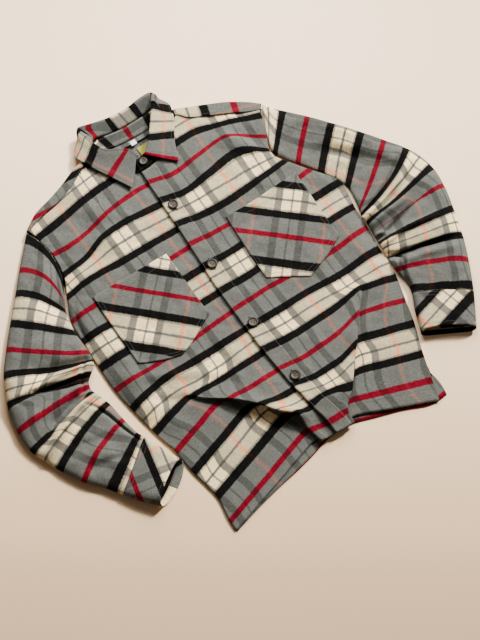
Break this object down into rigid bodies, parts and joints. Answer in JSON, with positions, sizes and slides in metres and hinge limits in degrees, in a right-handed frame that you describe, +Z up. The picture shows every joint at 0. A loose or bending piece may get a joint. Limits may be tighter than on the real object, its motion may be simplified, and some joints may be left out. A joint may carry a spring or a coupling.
{
  "type": "flannel shirt",
  "caption": "Buttoned plaid flannel shirt laid flat, with turned-down collar, chest pockets, bent sleeves and a bunched front hem.",
  "frame": {"origin": "on the surface the shirt lies on, under the middle of the shirt's outline", "axes": "+Z up from the surface, +Y from hem to collar, +X towards the wearer's left sleeve"},
  "size_m": [0.8406, 0.756, 0.0272],
  "materials": {
    "flannel": "brushed twill flannel, yarn-dyed plaid in grey, black, cream and red",
    "button": "horn-look resin, satin",
    "label": "bare woven label, yellow",
    "tab": "bare woven tab, white"
  },
  "bodies": {
    "root": {"back": "flannel", "yoke": "flannel", "front_right": "flannel", "front_left": "flannel", "placket_band": "flannel", "collar_stand": "flannel", "collar_leaf": "flannel", "sleeve_right": "flannel", "sleeve_left": "flannel", "cuff_right": "flannel", "cuff_left": "flannel", "pocket_right": "flannel", "pocket_left": "flannel", "button_1": "button", "button_2": "button", "button_3": "button", "button_4": "button", "button_5": "button", "neck_label": "label", "size_tab": "tab"}
  },
  "joints": []
}
